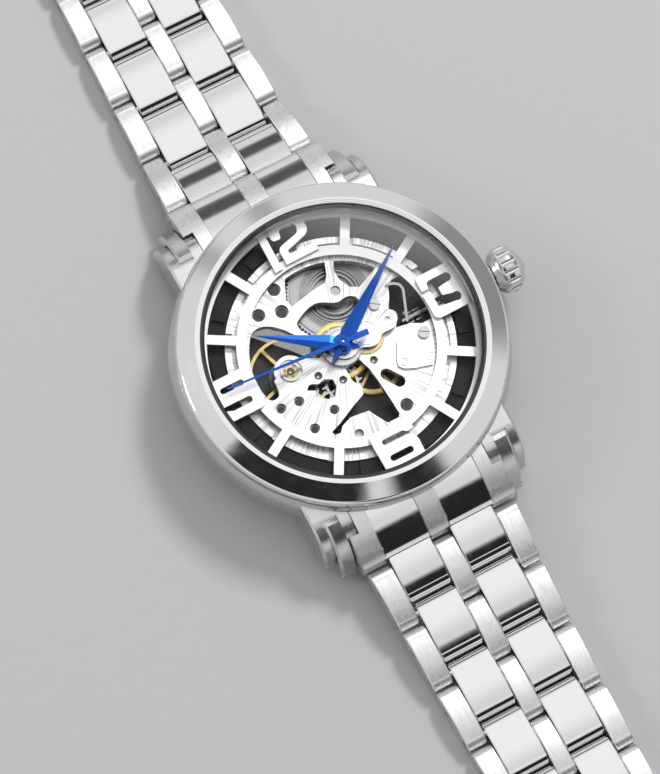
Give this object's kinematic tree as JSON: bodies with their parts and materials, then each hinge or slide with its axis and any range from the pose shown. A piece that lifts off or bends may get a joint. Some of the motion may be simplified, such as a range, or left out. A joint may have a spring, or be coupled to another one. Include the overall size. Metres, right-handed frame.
{
  "type": "skeleton wristwatch",
  "caption": "Automatic wristwatch with an open-worked dial, an onion crown, a hinged five-row steel bracelet and a folding clasp.",
  "frame": {"origin": "centre of the flat case back, on the face the watch rests on", "axes": "+Z out of the dial, +Y from the centre to 12 o'clock along the bracelet, +X to the crown at 3 o'clock"},
  "size_m": [0.0488, 0.1771, 0.0126],
  "materials": {
    "polished_steel": "polished",
    "brushed_steel": "brushed",
    "crystal": "clear",
    "gasket": "matte",
    "black_plastic": "satin",
    "plated_bridge": "rhodium plated, finely brushed",
    "dial_silver": "satin silver",
    "numeral_metal": "brushed and polished",
    "gilt": "gilt",
    "nickel": "satin",
    "blued_steel": "blued",
    "jewel": "polished synthetic ruby",
    "spring_steel": "bright"
  },
  "bodies": {
    "case": {"case_middle": "brushed_steel", "bezel": "polished_steel", "crystal": "crystal", "case_gaskets": "gasket", "rehaut_ring": "nickel", "case_back_ring": "brushed_steel", "case_back_crystal": "crystal", "movement_ring": "black_plastic", "crown_tube": "nickel", "spring_bars": "nickel", "dial": "dial_silver", "hour_numerals": "numeral_metal", "main_plate": "plated_bridge", "motion_works_bridge": "plated_bridge", "keyless_cover_plate": "plated_bridge", "barrel_bridge": "plated_bridge", "train_bridge": "plated_bridge", "balance_cock": "plated_bridge", "pallet_bridge": "plated_bridge", "movement_screws": "polished_steel", "jewels": "jewel", "shock_setting": "gilt", "setting_lever": "nickel", "rotor_bearing": "nickel", "end_links": "brushed_steel"},
    "fourth": {"fourth_wheel": "gilt", "seconds_hand": "blued_steel"},
    "third": {"third_wheel": "gilt"},
    "center": {"center_wheel": "gilt"},
    "barrel": {"barrel": "nickel"},
    "escape": {"escape_wheel": "nickel"},
    "pallets": {"pallet_fork": "nickel"},
    "balance": {"balance_wheel": "gilt", "hairspring": "spring_steel"},
    "cannon": {"cannon_pinion": "nickel", "minute_hand": "blued_steel"},
    "minute_work": {"minute_wheel": "gilt"},
    "hour": {"hour_wheel": "gilt", "hour_hand": "blued_steel"},
    "arbor": {"ratchet_wheel": "nickel", "mainspring": "spring_steel"},
    "crown_wheel": {"crown_wheel": "nickel"},
    "rotor": {"rotor": "plated_bridge"},
    "stem_pull": {"crown_gasket": "gasket"},
    "crown": {"crown": "polished_steel", "winding_stem": "nickel"},
    "upper_link_1": {"upper_link_1": "brushed_steel"},
    "upper_link_2": {"upper_link_2": "brushed_steel"},
    "upper_link_3": {"upper_link_3": "brushed_steel"},
    "upper_link_4": {"upper_link_4": "brushed_steel"},
    "upper_link_5": {"upper_link_5": "brushed_steel"},
    "lower_link_1": {"lower_link_1": "brushed_steel"},
    "lower_link_2": {"lower_link_2": "brushed_steel"},
    "lower_link_3": {"lower_link_3": "brushed_steel"},
    "lower_link_4": {"lower_link_4": "brushed_steel"},
    "lower_link_5": {"lower_link_5": "brushed_steel"},
    "lower_link_6": {"lower_link_6": "brushed_steel"},
    "clasp_cover": {"clasp_cover": "brushed_steel"},
    "long_blade": {"clasp_long_blade": "polished_steel"},
    "short_blade": {"clasp_short_blade": "polished_steel"}
  },
  "joints": [
    {"name": "seconds_turn", "type": "hinge", "parent": "case", "child": "fourth", "pos_m": [0, 0, 0.007], "axis": [0, 0, 1], "continuous": true},
    {"name": "third_turn", "type": "hinge", "parent": "case", "child": "third", "pos_m": [0.00285, -0.00335, 0.006], "axis": [0, 0, 1], "continuous": true},
    {"name": "center_turn", "type": "hinge", "parent": "case", "child": "center", "pos_m": [0, 0, 0.007], "axis": [0, 0, 1], "continuous": true},
    {"name": "barrel_turn", "type": "hinge", "parent": "case", "child": "barrel", "pos_m": [0.0029, 0.00695, 0.006], "axis": [0, 0, 1], "continuous": true},
    {"name": "escape_turn", "type": "hinge", "parent": "case", "child": "escape", "pos_m": [-0.00185, -0.00385, 0.006], "axis": [0, 0, 1], "continuous": true},
    {"name": "pallet_rock", "type": "hinge", "parent": "case", "child": "pallets", "pos_m": [-0.0044, -0.00195, 0.0064], "axis": [0, 0, 1], "range_deg": [-5, 5]},
    {"name": "balance_swing", "type": "hinge", "parent": "case", "child": "balance", "pos_m": [-0.00725, 0.0002, 0.0057], "axis": [0, 0, 1], "range_deg": [-180, 180], "stiffness_Nm_per_rad": 0.000001},
    {"name": "minute_turn", "type": "hinge", "parent": "case", "child": "cannon", "pos_m": [0, 0, 0.009], "axis": [0, 0, 1], "continuous": true},
    {"name": "minute_work_turn", "type": "hinge", "parent": "case", "child": "minute_work", "pos_m": [0.0034, 0, 0.0084], "axis": [0, 0, 1], "continuous": true},
    {"name": "hour_turn", "type": "hinge", "parent": "case", "child": "hour", "pos_m": [0, 0, 0.009], "axis": [0, 0, 1], "continuous": true},
    {"name": "ratchet_turn", "type": "hinge", "parent": "case", "child": "arbor", "pos_m": [0.0029, 0.00695, 0.005], "axis": [0, 0, 1], "continuous": true},
    {"name": "crown_wheel_turn", "type": "hinge", "parent": "case", "child": "crown_wheel", "pos_m": [0.0102, 0.001, 0.0036], "axis": [0, 0, 1], "continuous": true},
    {"name": "rotor_turn", "type": "hinge", "parent": "case", "child": "rotor", "pos_m": [0, 0, 0.0031], "axis": [0, 0, 1], "continuous": true},
    {"name": "crown_pull", "type": "slide", "parent": "case", "child": "stem_pull", "axis": [1, 0, 0], "range_m": [0, 0.0012]},
    {"name": "crown_turn", "type": "hinge", "parent": "stem_pull", "child": "crown", "pos_m": [0.024, 0, 0.0058], "axis": [1, 0, 0], "continuous": true},
    {"name": "upper_hinge_1", "type": "hinge", "parent": "case", "child": "upper_link_1", "pos_m": [0, 0.0254, 0.0044], "axis": [-1, 0, 0], "range_deg": [-8, 28]},
    {"name": "upper_hinge_2", "type": "hinge", "parent": "upper_link_1", "child": "upper_link_2", "pos_m": [0, 0.03362, 0.00189], "axis": [-1, 0, 0], "range_deg": [-4, 36]},
    {"name": "upper_hinge_3", "type": "hinge", "parent": "upper_link_2", "child": "upper_link_3", "pos_m": [0, 0.04221, 0.00144], "axis": [-1, 0, 0], "range_deg": [-4, 24.4]},
    {"name": "upper_hinge_4", "type": "hinge", "parent": "upper_link_3", "child": "upper_link_4", "pos_m": [0, 0.05081, 0.00135], "axis": [-1, 0, 0], "range_deg": [-4, 22.6]},
    {"name": "upper_hinge_5", "type": "hinge", "parent": "upper_link_4", "child": "upper_link_5", "pos_m": [0, 0.05941, 0.00135], "axis": [-1, 0, 0], "range_deg": [-10, 22]},
    {"name": "lower_hinge_1", "type": "hinge", "parent": "case", "child": "lower_link_1", "pos_m": [0, -0.0254, 0.0044], "axis": [1, 0, 0], "range_deg": [-8, 35]},
    {"name": "lower_hinge_2", "type": "hinge", "parent": "lower_link_1", "child": "lower_link_2", "pos_m": [0, -0.03387, 0.00291], "axis": [1, 0, 0], "range_deg": [-4, 24]},
    {"name": "lower_hinge_3", "type": "hinge", "parent": "lower_link_2", "child": "lower_link_3", "pos_m": [0, -0.04239, 0.00171], "axis": [1, 0, 0], "range_deg": [-4, 27.4]},
    {"name": "lower_hinge_4", "type": "hinge", "parent": "lower_link_3", "child": "lower_link_4", "pos_m": [0, -0.05098, 0.00132], "axis": [1, 0, 0], "range_deg": [-4, 24.6]},
    {"name": "lower_hinge_5", "type": "hinge", "parent": "lower_link_4", "child": "lower_link_5", "pos_m": [0, -0.05958, 0.00132], "axis": [1, 0, 0], "range_deg": [-10, 22]},
    {"name": "lower_hinge_6", "type": "hinge", "parent": "lower_link_5", "child": "lower_link_6", "pos_m": [0, -0.06818, 0.00132], "axis": [1, 0, 0], "range_deg": [-10, 22]},
    {"name": "clasp_hinge", "type": "hinge", "parent": "upper_link_5", "child": "clasp_cover", "pos_m": [0, 0.06801, 0.00135], "axis": [-1, 0, 0], "range_deg": [-6, 14]},
    {"name": "long_blade_hinge", "type": "hinge", "parent": "clasp_cover", "child": "long_blade", "pos_m": [0, 0.09681, 0.00125], "axis": [1, 0, 0], "range_deg": [0, 150]},
    {"name": "short_blade_hinge", "type": "hinge", "parent": "long_blade", "child": "short_blade", "pos_m": [0, 0.07551, 0.001], "axis": [-1, 0, 0], "range_deg": [0, 160]}
  ],
  "couplings": [
    {"joint": "third_turn", "follows": "seconds_turn", "ratio": -0.13333},
    {"joint": "center_turn", "follows": "seconds_turn", "ratio": 0.016667},
    {"joint": "barrel_turn", "follows": "seconds_turn", "ratio": -0.0029915},
    {"joint": "escape_turn", "follows": "seconds_turn", "ratio": -12},
    {"joint": "minute_work_turn", "follows": "minute_turn", "ratio": -0.33333},
    {"joint": "hour_turn", "follows": "minute_turn", "ratio": 0.083333},
    {"joint": "ratchet_turn", "follows": "crown_turn", "ratio": -0.25},
    {"joint": "crown_wheel_turn", "follows": "crown_turn", "ratio": 0.4}
  ]
}
